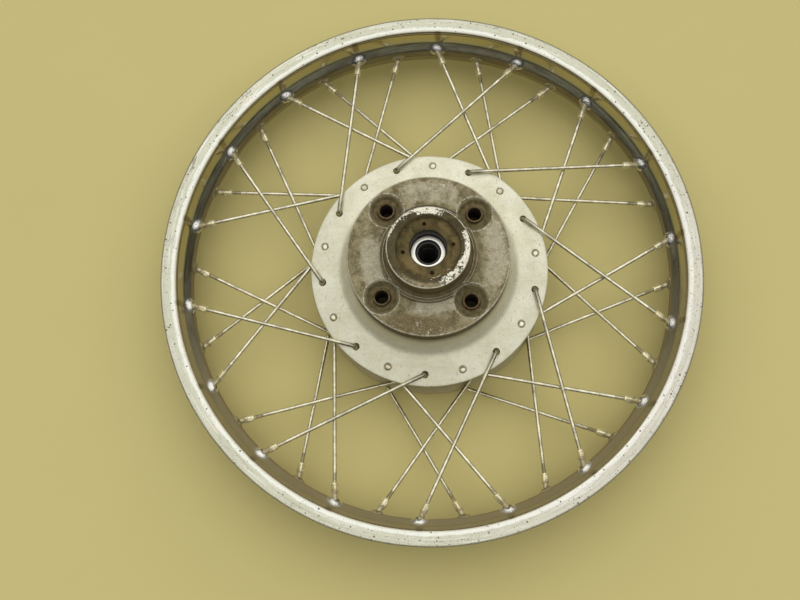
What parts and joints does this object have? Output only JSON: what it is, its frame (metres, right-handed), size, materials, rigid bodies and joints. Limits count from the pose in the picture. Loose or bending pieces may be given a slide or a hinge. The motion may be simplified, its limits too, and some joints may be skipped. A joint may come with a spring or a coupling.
{
  "type": "motorcycle rear wheel",
  "caption": "Spoked motorcycle rear wheel: chromed steel rim, laced wire spokes and a drum-brake hub with a cushioned sprocket carrier.",
  "frame": {"origin": "on the axle's line, in the plane of the drum's end ring that the wheel lies on", "axes": "+Z along the axle, from the brake drum's side to the sprocket's side; +X and +Y across the wheel"},
  "size_m": [0.4888, 0.4888, 0.1371],
  "materials": {
    "rim_chrome": "bright plating with fine rust pits",
    "hub_aluminium": "satin cast, stained brown on the sprocket carrier",
    "drum_iron": "turned, lightly rusted",
    "spoke_steel": "dull zinc",
    "brown_rubber": "matt, dusty",
    "plain_steel": "oxidised",
    "bearing_steel": "ground",
    "retainer_steel": "rusted brown",
    "black_rubber": "matt",
    "collar_steel": "bright turned"
  },
  "bodies": {
    "wheel": {"rim": "rim_chrome", "hub_shell": "hub_aluminium", "brake_drum_liner": "drum_iron", "spoke_drive_outer_1": "spoke_steel", "spoke_drive_outer_2": "spoke_steel", "spoke_drive_outer_3": "spoke_steel", "spoke_drive_outer_4": "spoke_steel", "spoke_drive_outer_5": "spoke_steel", "spoke_drive_outer_6": "spoke_steel", "spoke_drive_outer_7": "spoke_steel", "spoke_drive_outer_8": "spoke_steel", "spoke_drive_outer_9": "spoke_steel", "spoke_drive_inner_1": "spoke_steel", "spoke_drive_inner_2": "spoke_steel", "spoke_drive_inner_3": "spoke_steel", "spoke_drive_inner_4": "spoke_steel", "spoke_drive_inner_5": "spoke_steel", "spoke_drive_inner_6": "spoke_steel", "spoke_drive_inner_7": "spoke_steel", "spoke_drive_inner_8": "spoke_steel", "spoke_drive_inner_9": "spoke_steel", "spoke_brake_outer_1": "spoke_steel", "spoke_brake_outer_2": "spoke_steel", "spoke_brake_outer_3": "spoke_steel", "spoke_brake_outer_4": "spoke_steel", "spoke_brake_outer_5": "spoke_steel", "spoke_brake_outer_6": "spoke_steel", "spoke_brake_outer_7": "spoke_steel", "spoke_brake_outer_8": "spoke_steel", "spoke_brake_outer_9": "spoke_steel", "spoke_brake_inner_1": "spoke_steel", "spoke_brake_inner_2": "spoke_steel", "spoke_brake_inner_3": "spoke_steel", "spoke_brake_inner_4": "spoke_steel", "spoke_brake_inner_5": "spoke_steel", "spoke_brake_inner_6": "spoke_steel", "spoke_brake_inner_7": "spoke_steel", "spoke_brake_inner_8": "spoke_steel", "spoke_brake_inner_9": "spoke_steel", "cush_rubber_1": "brown_rubber", "cush_sleeve_1": "plain_steel", "cush_rubber_2": "brown_rubber", "cush_sleeve_2": "plain_steel", "cush_rubber_3": "brown_rubber", "cush_sleeve_3": "plain_steel", "cush_rubber_4": "brown_rubber", "cush_sleeve_4": "plain_steel", "drive_bearing_outer_ring": "bearing_steel", "brake_bearing_outer_ring": "bearing_steel", "bearing_retainer": "retainer_steel", "oil_seal": "black_rubber"},
    "axle_sleeve": {"drive_bearing_inner_ring": "bearing_steel", "brake_bearing_inner_ring": "bearing_steel", "bearing_distance_collar": "plain_steel", "side_collar": "collar_steel"},
    "drive_cage": {"drive_bearing_balls_and_cage": "bearing_steel"},
    "brake_cage": {"brake_bearing_balls_and_cage": "bearing_steel"}
  },
  "joints": [
    {"name": "axle_spin", "type": "hinge", "parent": "wheel", "child": "axle_sleeve", "pos_m": [0, 0, 0.0655], "axis": [0, 0, 1], "continuous": true},
    {"name": "drive_cage_roll", "type": "hinge", "parent": "wheel", "child": "drive_cage", "pos_m": [0, 0, 0.108], "axis": [0, 0, 1], "continuous": true},
    {"name": "brake_cage_roll", "type": "hinge", "parent": "wheel", "child": "brake_cage", "pos_m": [0, 0, 0.023], "axis": [0, 0, 1], "continuous": true}
  ],
  "couplings": [
    {"joint": "drive_cage_roll", "follows": "axle_spin", "ratio": 0.37},
    {"joint": "brake_cage_roll", "follows": "axle_spin", "ratio": 0.37}
  ]
}
